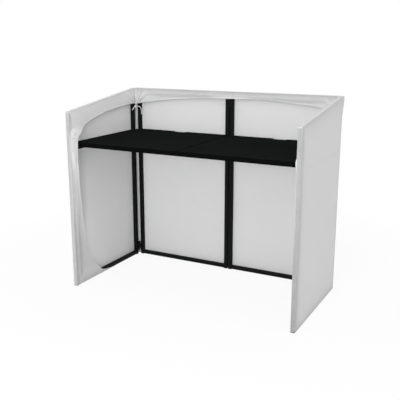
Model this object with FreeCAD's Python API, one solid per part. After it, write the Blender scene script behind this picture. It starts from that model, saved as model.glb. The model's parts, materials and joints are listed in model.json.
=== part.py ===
import FreeCAD, Part
import math
import os

# Folding DJ booth: four hinged square-tube panels, a two-half table top and a white stretch cover.
# Millimetres, +Z up. The DJ stands at -Y and faces +Y, with the front wall at +Y and X to the right.
# The origin is on the floor, under the middle of the booth.

Vector = FreeCAD.Vector

# Booth, measured over the cover
booth_width = 1356.0
booth_depth = 690.0
front_height = 1100.0
side_fall = 87.0

# Square tube and the gaps that the hinges bridge
tube = 22.0
tube_wall = 1.5
corner_gap = 11.0
middle_gap = 7.0
foot_height = 3.0
plug_stem = 18.0
plug_fit = 0.05

# Table top
table_height = 845.0
board = 25.0
board_side_clear = 3.5
board_back_clear = 5.0
board_set_back = 24.0
board_corner = 50.0
seam_gap = 0.3
notch_width = 80.0
notch_depth = 22.0
notch_radius = 8.0
rest_clear = 0.3

# Ledges that carry the table top
ledge = 3.0
ledge_reach = 25.0
ledge_drop = 20.0
ledge_near_inset = 85.0
ledge_end_inset = 30.0
ledge_screws = 4
ledge_notch_clear = 5.0
ledge_screw_inset = 60.0
ledge_screw_drop = 12.0
screw_head_radius = 4.0
screw_head = 2.4
screw_radius = 2.0
screw_length = 8.0
screw_fit = 0.05

# Hinges between the panels
hinge_height = 60.0
hinge_end_inset = 25.0
hinge_leaf = 2.2
corner_plate = 16.0
corner_knuckle_radius = 4.5
middle_knuckle_radius = 3.3
middle_plate_inset = 2.0
middle_axis_out = 0.6
pin_radius = 1.75
pin_fit = 0.05
pin_head_radius = 2.9
pin_head = 1.5
knuckle_gap = 0.4
turn_clear = 0.3

# Flush hinges across the seam of the table top
flap_length = 60.0
flap_width = 25.0
flap_leaf = 1.5
flap_inset = 70.0
flap_knuckle_radius = 2.8
flap_axis_rise = 0.8
flap_pin_radius = 1.25
flap_pocket = 0.1
flap_screw_inset = 15.0
flap_screw_head_radius = 3.0
flap_screw_head = 1.0
flap_screw_radius = 1.4
flap_screw_length = 14.0

# Stretch cover and its elastic hem
cover = 0.9
cover_clear = 0.3
cover_floor = 2.5
strip_clear = 0.3
corner_lap = 11.0
corner_ease = 2.0
middle_lap = 16.5
ridge_clear = 0.6
ledge_slit = 1.0
hem_corner_drop = 96.0
hem_middle_drop = 42.0
side_hem_turn_y = 200.0
side_hem_turn_drop = 64.0
side_hem_post = 64.0
side_hem_post_drop = 323.0
side_hem_shoulder_y = 84.0
side_hem_shoulder_drop = 163.0
side_hem_foot_y = 121.0
side_hem_foot_z = 200.0
side_hem_pocket = 300.0

# Tie cords, as points in front of an inner corner: distance from the side frame, distance from the
# front frame, height over the hem's corner
cord_radius = 2.0
knot_radius = 6.0
knot_ring_radius = 4.6
knot_at = (12.0, 23.6, -18.3)
strand_route = [(11.7, 22.9, -14.0), (9.5, 11.5, -7.0), (8.2, 7.8, 5.0)]
short_route = [(10.4, 26.4, -19.6), (7.2, 36.0, -25.5), (5.8, 42.5, -31.5), (5.2, 47.5, -38.5)]
long_route = [(15.0, 20.5, -17.2), (27.0, 11.0, -16.0), (37.0, 7.0, -23.0), (43.5, 5.6, -36.0),
              (45.5, 5.4, -51.5), (44.5, 5.6, -66.0)]

# Places worked out from the sizes above. Side pieces are made at +X and mirrored.
ridge_out = middle_axis_out + middle_knuckle_radius + ridge_clear + cover
near = -(booth_depth + ridge_out) / 2
front = near + booth_depth
skin = cover + cover_clear
tube_near = near + skin
tube_front_out = front - skin
tube_front_in = tube_front_out - tube
side_far = tube_front_in - corner_gap
side_out = booth_width / 2
tube_side_out = side_out - skin
tube_side_in = tube_side_out - tube
front_end = tube_side_in - corner_gap
front_mid = middle_gap / 2
near_height = front_height - side_fall
frame_top = front_height - skin
near_top = near_height - skin
board_bottom = table_height - board
shelf_top = board_bottom - rest_clear
shelf_bottom = shelf_top - tube
top_slope = (frame_top - near_top) / (side_far - tube_near)
slant = math.sqrt(1 + top_slope ** 2)
middle_axis_y = front + middle_axis_out
board_end = tube_side_in - board_side_clear
board_near = near + board_set_back
board_back = tube_front_in - board_back_clear
notch_middle = (seam_gap / 2 + board_end) / 2
side_cover_end = side_far - corner_lap
front_cover_end = front_end - corner_lap
middle_cover_end = front_mid + middle_lap
hem_corner = front_height - hem_corner_drop
hem_middle = front_height - hem_middle_drop
side_hem_turn_z = near_height - side_hem_turn_drop
side_hem_post_z = near_height - side_hem_post_drop
side_hem_shoulder_z = near_height - side_hem_shoulder_drop
hinge_levels = [hinge_end_inset, front_height - hinge_end_inset - hinge_height]
flap_places = [board_near + flap_inset, board_back - flap_inset - flap_length]

PLACES = {
    "xy": lambda a, b, level: Vector(a, b, level),
    "xz": lambda a, b, level: Vector(a, level, b),
    "yz": lambda a, b, level: Vector(level, a, b),
}
NORMALS = {"xy": Vector(0, 0, 1), "xz": Vector(0, 1, 0), "yz": Vector(1, 0, 0)}
MIRROR = Vector(1, 0, 0)


def box(x, y, z):
    return Part.makeBox(x[1] - x[0], y[1] - y[0], z[1] - z[0], Vector(x[0], y[0], z[0]))


def prism(plane, outline, levels):
    """Extrude an outline. A step of the outline is a point, or a pair: a point on an arc and its end."""
    place = PLACES[plane]
    edges = []
    current = outline[0]
    for step in outline[1:] + [outline[0]]:
        bent = isinstance(step[0], tuple)
        end = step[1] if bent else step
        start_point = place(*current, levels[0])
        end_point = place(*end, levels[0])
        if bent:
            via_point = place(*step[0], levels[0])
            edges.append(Part.Arc(start_point, via_point, end_point).toShape())
        else:
            edges.append(Part.LineSegment(start_point, end_point).toShape())
        current = end
    face = Part.Face(Part.Wire(edges))
    return face.extrude(NORMALS[plane] * (levels[1] - levels[0]))


def rod(radius, start, direction, length):
    return Part.makeCylinder(radius, length, start, direction)


def fuse(shapes):
    whole = shapes[0].multiFuse(shapes[1:]) if len(shapes) > 1 else shapes[0]
    return whole.removeSplitter()


def mirrored(shape):
    return shape.mirror(Vector(0, 0, 0), MIRROR)


def save(name, shapes):
    solid = shapes[0] if len(shapes) == 1 else Part.makeCompound(shapes)
    solid.exportStep("parts/" + name + ".step")


def save_pair(stem, shapes):
    """A piece of the right half, and its mirror image on the left."""
    save(stem + "_right", shapes)
    save(stem + "_left", [mirrored(shape) for shape in shapes])


# Frames

def side_top(y):
    """Upper edge of a side frame, which slopes up towards the front wall."""
    return near_top + top_slope * (y - tube_near)


def level_top(x):
    return frame_top


def window(plane, span, heights, top, drop, levels):
    """The room between two posts, from one height to another and under the top rail."""
    start, end = span
    low, high = heights
    whole = [(start, low), (end, low), (end, high), (start, high)]
    under = [(start, 0.0), (end, 0.0), (end, top(end) - drop), (start, top(start) - drop)]
    return prism(plane, whole, levels).common(prism(plane, under, levels))


def panel_frame(plane, span, levels, top, lean):
    """Two posts, a bottom rail, a shelf rail and a top rail of square tube, welded into one."""
    start, end = span
    wall = tube_wall
    outline = [(start, foot_height), (end, foot_height), (end, top(end)), (start, top(start))]
    frame = prism(plane, outline, levels)
    opening = (start + tube, end - tube)
    for heights in ((foot_height + tube, shelf_bottom), (shelf_top, front_height)):
        frame = frame.cut(window(plane, opening, heights, top, tube * lean, levels))

    hollow = (levels[0] + wall, levels[1] - wall)
    rise = wall * lean
    inside = [(start + wall, foot_height + wall), (end - wall, foot_height + wall),
              (end - wall, top(end - wall) - rise), (start + wall, top(start + wall) - rise)]
    bore = prism(plane, inside, hollow)
    around = (start + tube - wall, end - tube + wall)
    for heights in ((foot_height + tube - wall, shelf_bottom + wall), (shelf_top - wall, front_height)):
        bore = bore.cut(window(plane, around, heights, top, (tube - wall) * lean, hollow))
    frame = frame.cut(bore)
    for post in (start, end - tube):
        socket = [(post + wall, foot_height), (post + tube - wall, foot_height),
                  (post + tube - wall, foot_height + tube - wall), (post + wall, foot_height + tube - wall)]
        frame = frame.cut(prism(plane, socket, hollow))
    return frame


def foot_plugs(plane, span, levels):
    """Plastic plugs in the lower ends of a panel's two posts."""
    plugs = []
    margin = tube_wall + plug_fit
    for post in (span[0], span[1] - tube):
        flange = [(post, 0.0), (post + tube, 0.0), (post + tube, foot_height), (post, foot_height)]
        stem_top = foot_height + plug_stem
        stem = [(post + margin, foot_height), (post + tube - margin, foot_height),
                (post + tube - margin, stem_top), (post + margin, stem_top)]
        plug = prism(plane, flange, levels)
        plugs.append(fuse([plug, prism(plane, stem, (levels[0] + margin, levels[1] - margin))]))
    return plugs


# Ledges and their screws

def screw_places(start, end):
    first = start + ledge_screw_inset
    step = (end - ledge_screw_inset - first) / (ledge_screws - 1)
    return [first + step * count for count in range(ledge_screws)]


def ledge_screw(seat, direction):
    """A pan-head screw whose head lies on the seat and whose shank runs along the direction."""
    head = rod(screw_head_radius, seat, direction * -1, screw_head)
    return fuse([head, rod(screw_radius, seat, direction, screw_length)])


def ledge_holes(seats, direction):
    return [rod(screw_radius + screw_fit, seat, direction, screw_length) for seat in seats]


def cut_all(shape, tools):
    for tool in tools:
        shape = shape.cut(tool)
    return shape


side_span = (tube_near, side_far)
side_levels = (tube_side_in, tube_side_out)
front_span = (front_mid, front_end)
front_levels = (tube_front_in, tube_front_out)
screw_level = shelf_top - ledge_screw_drop
outward = Vector(1, 0, 0)
forward = Vector(0, 1, 0)

side_ledge_run = (near + ledge_near_inset, side_far - ledge_end_inset)
side_seats = [Vector(tube_side_in - ledge, y, screw_level) for y in screw_places(*side_ledge_run)]
front_ledge_run = (front_mid + tube, front_end - tube)
front_seats = [Vector(x, tube_front_in - ledge, screw_level) for x in screw_places(*front_ledge_run)]


def ledge_angle(plane, run, inner):
    """An angle section: one leg on the shelf rail, the other under the table top."""
    flat = (shelf_top - ledge, shelf_top)
    leg = (shelf_top - ledge_drop, shelf_top)
    pieces = []
    for levels, span in (((inner - ledge_reach, inner), flat), ((inner - ledge, inner), leg)):
        corners = [(run[0], span[0]), (run[1], span[0]), (run[1], span[1]), (run[0], span[1])]
        pieces.append(prism(plane, corners, levels))
    return fuse(pieces)


def front_ledge():
    """The ledge of a front frame, cut away under the cable notch of the table top."""
    half = notch_width / 2 + ledge_notch_clear
    under = box((notch_middle - half, notch_middle + half),
                (tube_front_in - ledge_reach, tube_front_in - ledge), (shelf_top - ledge, shelf_top))
    return ledge_angle("xz", front_ledge_run, tube_front_in).cut(under)


def make_panels():
    side_holes = ledge_holes(side_seats, outward)
    front_holes = ledge_holes(front_seats, forward)
    side_frame = cut_all(panel_frame("yz", side_span, side_levels, side_top, slant), side_holes)
    front_frame = cut_all(panel_frame("xz", front_span, front_levels, level_top, 1.0), front_holes)
    save_pair("frame_side", [side_frame])
    save_pair("frame_front", [front_frame])
    save_pair("feet_side", foot_plugs("yz", side_span, side_levels))
    save_pair("feet_front", foot_plugs("xz", front_span, front_levels))
    save_pair("ledge_side", [cut_all(ledge_angle("yz", side_ledge_run, tube_side_in), side_holes)])
    save_pair("ledge_front", [cut_all(front_ledge(), front_holes)])
    save_pair("ledge_screws_side", [ledge_screw(seat, outward) for seat in side_seats])
    save_pair("ledge_screws_front", [ledge_screw(seat, forward) for seat in front_seats])


# Hinges between the panels

def knuckle_spans(level):
    """Heights of the outer knuckles, on one leaf, and of the middle knuckle, on the other."""
    third = hinge_height / 3
    half = knuckle_gap / 2
    low = (level, level + third - half)
    middle = (level + third + half, level + 2 * third - half)
    high = (level + 2 * third + half, level + hinge_height)
    return [low, high], [middle]


def upright(radius, x, y, span):
    return rod(radius, Vector(x, y, span[0]), Vector(0, 0, 1), span[1] - span[0])


def hinge_pin(x, y, level):
    shank = upright(pin_radius, x, y, (level, level + hinge_height))
    heads = [upright(pin_head_radius, x, y, span) for span in
             ((level - pin_head, level), (level + hinge_height, level + hinge_height + pin_head))]
    return fuse([shank] + heads)


def leaf_with_knuckles(plate, webs, spans, x, y, radius, level):
    knuckles = [upright(radius, x, y, span) for span in spans]
    bore = upright(pin_radius + pin_fit, x, y, (level, level + hinge_height))
    return fuse([plate] + webs + knuckles).cut(bore)


def corner_hinge(level):
    """Leaf on the side post, leaf on the front post and pin. The axis is at the inner corner."""
    x = tube_side_in
    y = tube_front_in
    height = (level, level + hinge_height)
    outer, middle = knuckle_spans(level)
    side_plate = box((x, x + corner_plate), (side_far, side_far + hinge_leaf), height)
    side_webs = [box((x - hinge_leaf, x + hinge_leaf), (side_far, y), span) for span in outer]
    front_plate = box((front_end, front_end + hinge_leaf), (y, y + corner_plate), height)
    front_webs = [box((front_end, x), (y - hinge_leaf, y + hinge_leaf), span) for span in middle]
    side_leaf = leaf_with_knuckles(side_plate, side_webs, outer, x, y, corner_knuckle_radius, level)
    front_leaf = leaf_with_knuckles(front_plate, front_webs, middle, x, y, corner_knuckle_radius, level)
    return side_leaf, front_leaf, hinge_pin(x, y, level)


def middle_hinge(level):
    """Leaves in the gap between the two front panels. The axis stands just outside the front."""
    y = middle_axis_y
    height = (level, level + hinge_height)
    outer, middle = knuckle_spans(level)
    depth = (tube_front_in + middle_plate_inset, y)
    turn_radius = middle_knuckle_radius + turn_clear
    leaves = []
    for inner_face, own, other in ((-front_mid, outer, middle), (front_mid - hinge_leaf, middle, outer)):
        plate = box((inner_face, inner_face + hinge_leaf), depth, height)
        for span in other:
            plate = plate.cut(upright(turn_radius, 0, y, (span[0] - knuckle_gap, span[1] + knuckle_gap)))
        leaves.append(leaf_with_knuckles(plate, [], own, 0, y, middle_knuckle_radius, level))
    return leaves[0], leaves[1], hinge_pin(0, y, level)


def make_hinges():
    corner = [corner_hinge(level) for level in hinge_levels]
    save_pair("corner_hinge_side_leaf", [parts[0] for parts in corner])
    save_pair("corner_hinge_front_leaf", [parts[1] for parts in corner])
    save_pair("corner_hinge_pins", [parts[2] for parts in corner])
    middle = [middle_hinge(level) for level in hinge_levels]
    save("middle_hinge_leaf_left", [parts[0] for parts in middle])
    save("middle_hinge_leaf_right", [parts[1] for parts in middle])
    save("middle_hinge_pins", [parts[2] for parts in middle])


# Table top

flap_axis_z = table_height + flap_axis_rise
flap_turn = flap_knuckle_radius + turn_clear


def flap_knuckle(radius, span):
    return rod(radius, Vector(0, span[0], flap_axis_z), Vector(0, 1, 0), span[1] - span[0])


def flap_spans(start):
    third = flap_length / 3
    half = knuckle_gap / 2
    low = (start, start + third - half)
    middle = (start + third + half, start + 2 * third - half)
    high = (start + 2 * third + half, start + flap_length)
    return [low, high], [middle]


def flap_screw_seats(start):
    x = flap_width - flap_screw_inset / 2
    return [Vector(x, y, table_height) for y in (start + flap_screw_inset, start + flap_length - flap_screw_inset)]


def flap_screw(seat, fit):
    down = Vector(0, 0, -1)
    head = rod(flap_screw_head_radius + fit, seat, down, flap_screw_head)
    return fuse([head, rod(flap_screw_radius + fit, seat, down, flap_screw_length)])


def flap_leaf_right(start, own, other):
    """A leaf let into the top of the right half, with its own knuckles and room for the others."""
    leaf = box((0, flap_width), (start, start + flap_length), (table_height - flap_leaf, table_height))
    for span in other:
        leaf = leaf.cut(flap_knuckle(flap_turn, (span[0] - knuckle_gap, span[1] + knuckle_gap)))
    knuckles = [flap_knuckle(flap_knuckle_radius, span) for span in own]
    whole = fuse([leaf] + knuckles)
    whole = whole.cut(flap_knuckle(flap_pin_radius + pin_fit, (start, start + flap_length)))
    return cut_all(whole, [flap_screw(seat, screw_fit) for seat in flap_screw_seats(start)])


def board_right():
    """The right half: its outer back corner is clipped, and a cable notch is cut in its back edge."""
    inner = seam_gap / 2
    level = (board_bottom, table_height)
    outline = [(inner, board_near), (board_end, board_near), (board_end, board_back - board_corner),
               (board_end - board_corner, board_back), (inner, board_back)]
    half = prism("xy", outline, level)
    left = notch_middle - notch_width / 2
    right = notch_middle + notch_width / 2
    floor = board_back - notch_depth
    bend = notch_radius * (1 - math.sqrt(0.5))
    notch = [(left, board_back), (left, floor + notch_radius),
             ((left + bend, floor + bend), (left + notch_radius, floor)), (right - notch_radius, floor),
             ((right - bend, floor + bend), (right, floor + notch_radius)), (right, board_back)]
    half = half.cut(prism("xy", notch, level))
    for start in flap_places:
        pocket_y = (start - flap_pocket, start + flap_length + flap_pocket)
        pocket = box((inner, flap_width + flap_pocket), pocket_y, (table_height - flap_leaf, table_height))
        half = half.cut(pocket).cut(flap_knuckle(flap_turn, pocket_y))
        half = cut_all(half, [flap_screw(seat, screw_fit) for seat in flap_screw_seats(start)])
    return half


def make_table():
    save_pair("table_half", [board_right()])
    right_leaves = []
    left_leaves = []
    pins = []
    screws = []
    for start in flap_places:
        outer, middle = flap_spans(start)
        right_leaves.append(flap_leaf_right(start, middle, outer))
        left_leaves.append(mirrored(flap_leaf_right(start, outer, middle)))
        pins.append(flap_knuckle(flap_pin_radius, (start, start + flap_length)))
        screws += [flap_screw(seat, 0.0) for seat in flap_screw_seats(start)]
    save("table_hinge_leaf_right", right_leaves)
    save("table_hinge_leaf_left", left_leaves)
    save("table_hinge_pins", pins)
    save_pair("table_hinge_screws", screws)


# Stretch cover

def arc_height(x):
    """The front hem: a shallow arch, low in the corners and high in the middle."""
    rise = hem_middle - hem_corner
    radius = (front_cover_end ** 2 + rise ** 2) / (2 * rise)
    return hem_middle - radius + math.sqrt(radius ** 2 - x ** 2)


def ledge_room(plane, run, face):
    """A slit in the inner wrap for a ledge, where the hem hangs as low as the ledge."""
    low = shelf_top - ledge_drop - ledge_slit
    high = shelf_top + ledge_slit
    start = run[0] - ledge_slit
    end = run[1] + ledge_slit
    return prism(plane, [(start, low), (end, low), (end, high), (start, high)], (face - skin, face))


def front_cover_right():
    """Outer sheet, strip over the top rail and inner wrap down to the arched hem."""
    start = middle_cover_end + strip_clear / 2
    end = front_cover_end - strip_clear / 2
    inner = tube_front_in - skin
    sheet = box((start, end), (front - cover, front), (cover_floor, front_height))
    over = box((start, end), (inner, front), (front_height - cover, front_height))
    middle = (start + end) / 2
    wrap = [(start, front_height), (start, arc_height(start)),
            ((middle, arc_height(middle)), (end, arc_height(end))), (end, front_height)]
    inner_wrap = prism("xz", wrap, (inner, inner + cover))
    inner_wrap = inner_wrap.cut(ledge_room("xz", front_ledge_run, tube_front_in))
    return fuse([sheet, over, inner_wrap])


def side_edge(y):
    """Upper edge of the cover of a side panel."""
    return side_top(y) + skin * slant


def side_cover_right():
    """Outer sheet, strips over the top rail and the near post, and the inner wrap round its window."""
    end = side_cover_end - strip_clear / 2
    thick = cover * slant
    inner = tube_side_in - skin
    across = (inner, side_out)
    whole = [(near, cover_floor), (end, cover_floor), (end, side_edge(end)), (near, side_edge(near))]
    over = [(near, side_edge(near) - thick), (end, side_edge(end) - thick), (end, side_edge(end)),
            (near, side_edge(near))]
    post = [(near, cover_floor), (near + cover, cover_floor), (near + cover, side_edge(near)),
            (near, side_edge(near))]
    turn = (near + side_hem_turn_y, side_hem_turn_z)
    shoulder = (near + side_hem_shoulder_y, side_hem_shoulder_z)
    foot = (near + side_hem_foot_y, side_hem_foot_z)
    pocket = (near + side_hem_pocket, cover_floor)
    arch = ((turn[0] + end) / 2, (turn[1] + hem_corner) / 2 + (hem_corner - turn[1]) / 6)
    corner = (turn[0] + (shoulder[0] - turn[0]) * 0.7, turn[1] + (shoulder[1] - turn[1]) * 0.3)
    flare = (foot[0] + (pocket[0] - foot[0]) * 0.3, foot[1] + (pocket[1] - foot[1]) * 0.7)
    wrap = [(end, side_edge(end)), (end, hem_corner), (arch, turn), (corner, shoulder),
            ((near + side_hem_post, side_hem_post_z), foot), (flare, pocket), (near, cover_floor),
            (near, side_edge(near))]
    inner_wrap = prism("yz", wrap, (inner, inner + cover))
    inner_wrap = inner_wrap.cut(ledge_room("yz", side_ledge_run, tube_side_in))
    return fuse([prism("yz", whole, (side_out - cover, side_out)), prism("yz", over, across),
                 prism("yz", post, across), inner_wrap])


def corner_strip_right():
    """The cover where it crosses a corner hinge: cut across outside and inside, closed on top."""
    low_y = side_cover_end + strip_clear / 2
    low_x = front_cover_end + strip_clear / 2
    across = skin + tube + corner_gap - corner_ease
    inner_x = tube_side_in - skin
    inner_y = tube_front_in - skin
    plan = [(side_out, low_y), (side_out, front - across), (side_out - across, front), (low_x, front),
            (low_x, inner_y), (inner_x, low_y)]
    shift = cover * (math.sqrt(2) - 1)
    past = 2 * cover
    hollow = [(side_out - cover, low_y - past), (side_out - cover, front - across - shift),
              (side_out - across - shift, front - cover), (low_x - past, front - cover),
              (low_x - past, inner_y + past + cover), (inner_x + past + cover, low_y - past)]
    shell = prism("xy", plan, (cover_floor, front_height))
    shell = shell.cut(prism("xy", hollow, (cover_floor, front_height - cover)))
    below = [(side_out - cover, low_y - past), (side_out - cover, front - across - shift),
             (side_out - across - shift, front - cover), (low_x - past, front - cover),
             (low_x - past, inner_y - past), (inner_x - past, low_y - past)]
    return shell.cut(prism("xy", below, (cover_floor, hem_corner)))


def middle_strip():
    """The cover where it crosses the middle hinge, with a low ridge over the knuckles."""
    half = middle_cover_end - strip_clear / 2
    inner = tube_front_in - skin
    ridge = front + ridge_out
    outside = [(-half, front), (0.0, ridge), (half, front), (half, front - cover), (0.0, ridge - cover),
               (-half, front - cover)]
    over = [(-half, inner), (half, inner), (half, front), (0.0, ridge), (-half, front)]
    hem = arc_height(half)
    wrap = [(-half, hem), ((0.0, hem_middle), (half, hem)), (half, front_height), (-half, front_height)]
    return fuse([prism("xy", outside, (cover_floor, front_height)),
                 prism("xy", over, (front_height - cover, front_height)),
                 prism("xz", wrap, (inner, inner + cover))])


def make_cover():
    save_pair("cover_side", [side_cover_right()])
    save_pair("cover_front", [front_cover_right()])
    save_pair("cover_corner", [corner_strip_right()])
    save("cover_middle", [middle_strip()])


# Tie cords

def corner_point(offset):
    return Vector(tube_side_in - offset[0], tube_front_in - offset[1], hem_corner + offset[2])


def cord_tube(name, route):
    """A tube along straight runs joined by arcs that are as large as the runs allow."""
    points = [corner_point(offset) for offset in route]
    edges = []
    radii = []
    current = points[0]
    for before, corner, after in zip(points, points[1:], points[2:]):
        back = (before - corner).normalize()
        ahead = (after - corner).normalize()
        half_turn = (math.pi - back.getAngle(ahead)) / 2
        shorter = min((before - corner).Length, (after - corner).Length)
        setback = 0.45 * shorter
        radius = setback / math.tan(half_turn)
        radii.append(radius)
        begin = corner + back * setback
        finish = corner + ahead * setback
        bisector = (back + ahead).normalize()
        middle = corner + bisector * (radius / math.cos(half_turn) - radius)
        edges.append(Part.LineSegment(current, begin).toShape())
        edges.append(Part.Arc(begin, middle, finish).toShape())
        current = finish
    edges.append(Part.LineSegment(current, points[-1]).toShape())
    path = Part.Wire(edges)
    direction = (points[1] - points[0]).normalize()
    section = Part.Wire(Part.Circle(points[0], direction, cord_radius).toShape())
    tube_solid = path.makePipeShell([section], True, True)
    expected = math.pi * cord_radius ** 2 * path.Length
    print(name, "length %.1f" % path.Length, "radii", ["%.1f" % radius for radius in radii],
          "volume ratio %.4f" % (tube_solid.Volume / expected))
    return tube_solid


def knot():
    """A small round knot with a turn of cord standing out round it."""
    centre = corner_point(knot_at)
    ball = Part.makeSphere(knot_radius, centre)
    turn = Part.makeTorus(knot_ring_radius, cord_radius, centre, Vector(1, 1, 0.8))
    return fuse([ball, turn])


def make_ties():
    ball = knot()
    save_pair("tie_knot", [ball])
    for name, route in (("tie_strand", strand_route), ("tie_short_tail", short_route),
                        ("tie_long_tail", long_route)):
        save_pair(name, [cord_tube(name, route).cut(ball)])


os.makedirs("parts", exist_ok=True)
make_panels()
make_hinges()
make_table()
make_cover()
make_ties()
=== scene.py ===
import json
import math
from collections import namedtuple

import bmesh
import bpy
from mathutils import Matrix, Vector, noise

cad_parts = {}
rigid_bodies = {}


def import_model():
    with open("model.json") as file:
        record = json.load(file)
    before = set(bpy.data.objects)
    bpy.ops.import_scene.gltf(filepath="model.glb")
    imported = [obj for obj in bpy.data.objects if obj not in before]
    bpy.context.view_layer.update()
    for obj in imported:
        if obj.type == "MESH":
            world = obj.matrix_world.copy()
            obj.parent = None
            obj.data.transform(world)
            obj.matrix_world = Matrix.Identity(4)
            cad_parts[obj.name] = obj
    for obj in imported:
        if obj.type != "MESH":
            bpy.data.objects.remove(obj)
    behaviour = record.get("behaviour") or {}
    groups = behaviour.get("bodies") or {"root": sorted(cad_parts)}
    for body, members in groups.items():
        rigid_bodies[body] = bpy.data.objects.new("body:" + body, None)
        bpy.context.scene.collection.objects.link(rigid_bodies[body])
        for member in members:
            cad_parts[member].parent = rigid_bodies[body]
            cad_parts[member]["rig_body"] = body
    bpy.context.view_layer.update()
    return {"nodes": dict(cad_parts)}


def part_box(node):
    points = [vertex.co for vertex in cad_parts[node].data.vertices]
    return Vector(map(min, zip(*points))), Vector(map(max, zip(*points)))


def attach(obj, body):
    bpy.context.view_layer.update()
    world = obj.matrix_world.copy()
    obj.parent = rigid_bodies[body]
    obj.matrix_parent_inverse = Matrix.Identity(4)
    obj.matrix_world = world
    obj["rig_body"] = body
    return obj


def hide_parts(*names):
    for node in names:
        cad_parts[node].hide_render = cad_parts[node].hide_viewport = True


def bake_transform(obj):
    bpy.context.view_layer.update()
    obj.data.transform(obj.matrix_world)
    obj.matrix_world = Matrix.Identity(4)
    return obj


bl_info = {
    "name": "Folding DJ Booth",
    "version": (1, 0, 0),
    "blender": (4, 5, 0),
    "location": "View3D > Sidebar > Booth",
    "description": "Dresses a folding DJ booth: tube frames, black table top, white stretch cover and ties",
    "category": "Object",
}

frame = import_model()

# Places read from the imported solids, all on the right half
cover_side_low, cover_side_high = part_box("cover_side_right")
cover_front_low, cover_front_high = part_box("cover_front_right")
side_tube_low, side_tube_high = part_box("frame_side_right")
front_tube_low, front_tube_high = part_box("frame_front_right")
board_low, board_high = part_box("table_half_right")
TUBE = side_tube_high.x - side_tube_low.x
NEAR = cover_side_low.y
FLOOR = cover_side_low.z
TOP = cover_front_high.z
SHELF_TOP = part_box("ledge_side_right")[1].z

# Planes inside the walls, halfway up, and the overlap by which neighbouring sheets meet
SIDE_MIDDLE = 0.665
FRONT_MIDDLE = 0.33
SEW = 0.00015

RIGHT = 1
LEFT = -1
NAMES = {RIGHT: "right", LEFT: "left"}
WALLS = ("side", "front")
WHITE = (1, 1, 1, 1)

# A spot's backing carries the tubes' grey and painted shade, doubled the paler second layer, which also
# paints light, and crease painted shade
Spot = namedtuple("Spot", "point along up hem backing doubled crease", defaults=(0.0, 0.0))
Column = namedtuple("Column", "outer inner top hem outward inward along fold backing peak tone")
Tone = namedtuple("Tone", "edge body lifted layers")


# Settings

def size_setting(name, description, default):
    return bpy.props.FloatProperty(name=name, description=description, default=default, unit="LENGTH")


def colour_setting(name, description, default):
    return bpy.props.FloatVectorProperty(
        name=name, description=description, default=default, subtype="COLOR")


class BoothFrame(bpy.types.PropertyGroup):
    tube_edge: size_setting("Tube edge", "Radius of the square tube's corners", 0.0018)
    sheet_edge: size_setting("Sheet edge", "Radius of the edges of ledges and hinge leaves", 0.0005)
    board_edge: size_setting("Board edge", "Radius of the table top's edges", 0.0011)
    # Dark band at the seam: partly the edge band's edge, partly painted shade of the gap between the halves
    seam: size_setting("Seam band", "Dark band of the table top on each side of its seam", 0.004)
    paint: colour_setting("Paint", "Powder coat of the frames", (0.0072, 0.0076, 0.0078))
    rubbed: colour_setting("Rubbed edge", "Powder coat where edges are handled", (0.011, 0.0115, 0.0118))
    plastic: colour_setting("Foot plastic", "Moulded foot plugs", (0.013, 0.013, 0.014))
    steel: colour_setting("Blackened steel", "Screws and hinge pins", (0.045, 0.045, 0.048))
    board: colour_setting("Board", "Laminate of the table top", (0.0115, 0.0133, 0.0122))
    band: colour_setting("Edge band", "Band round the table top", (0.0038, 0.0041, 0.0040))


class BoothCover(bpy.types.PropertyGroup):
    cloth: size_setting("Cloth", "Thickness of the stretch cloth", 0.0009)
    turn: size_setting("Turn", "Radius of the cloth where it goes round a tube", 0.0028)
    gather: size_setting("Gather", "Height of the folds that the ties pull", 0.0034)
    pucker: size_setting("Pucker", "Height of the puckers along the elastic hem", 0.0006)
    ridge: size_setting("Ridge", "Height of the cloth over the middle hinges", 0.0052)
    near_height: size_setting("Near height", "Height of the side covers at their near ends", 1.01285)
    cord: size_setting("Cord", "Diameter of the tie cords", 0.0046)
    white: colour_setting("White", "Outside of the stretch cloth", (0.655, 0.656, 0.656))
    # The doubled colour is partly painted light, as it also lightens the side wraps; the inside colour is
    # painted paler, as light shining through the cloth
    doubled: colour_setting("Doubled", "Stretch cloth lying in two layers", (0.86, 0.861, 0.861))
    inside: colour_setting("Inside", "Inside of the stretch cloth", (0.80, 0.801, 0.801))
    cord_white: colour_setting("Cord white", "Braided tie cords", (0.90, 0.90, 0.89))


class BoothStage(bpy.types.PropertyGroup):
    floor: colour_setting("Floor", "Pale studio floor", (0.86, 0.86, 0.86))
    white_floor: bpy.props.FloatProperty(
        name="White floor", description="Share of plain white in the floor that the camera sees",
        default=0.9)
    sky: bpy.props.FloatProperty(
        name="Surround", description="Strength of the light from all round", default=0.78)
    front: bpy.props.FloatProperty(
        name="Front lamp", description="Power of the lamp before the booth", default=85.0, unit="POWER")
    right: bpy.props.FloatProperty(
        name="Right lamp", description="Power of the lamp at the right", default=22.0, unit="POWER")
    lens: bpy.props.FloatProperty(
        name="Lens", description="Focal length of the camera in millimetres", default=56.825)


# Shaders

class Tap:
    """A shader value. Arithmetic on it adds Math nodes to its finish."""

    def __init__(self, finish, socket):
        self.finish = finish
        self.socket = socket

    def maths(self, operation, first, second=0.0):
        made = self.finish.node("ShaderNodeMath", {"operation": operation}, {0: first, 1: second})
        return Tap(self.finish, made.outputs[0])

    def __add__(self, other):
        return self.maths("ADD", self, other)

    def __sub__(self, other):
        return self.maths("SUBTRACT", self, other)

    def __mul__(self, other):
        return self.maths("MULTIPLY", self, other)

    __radd__ = __add__
    __rmul__ = __mul__

    def wave(self):
        return self.maths("SINE", self)

    def size(self):
        return self.maths("ABSOLUTE", self)

    def under(self, limit):
        return self.maths("LESS_THAN", self, limit)

    def over(self, limit):
        return self.maths("GREATER_THAN", self, limit)

    def rest(self, period):
        return self.maths("FLOORED_MODULO", self, period)

    def larger(self, other):
        return self.maths("MAXIMUM", self, other)


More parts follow.
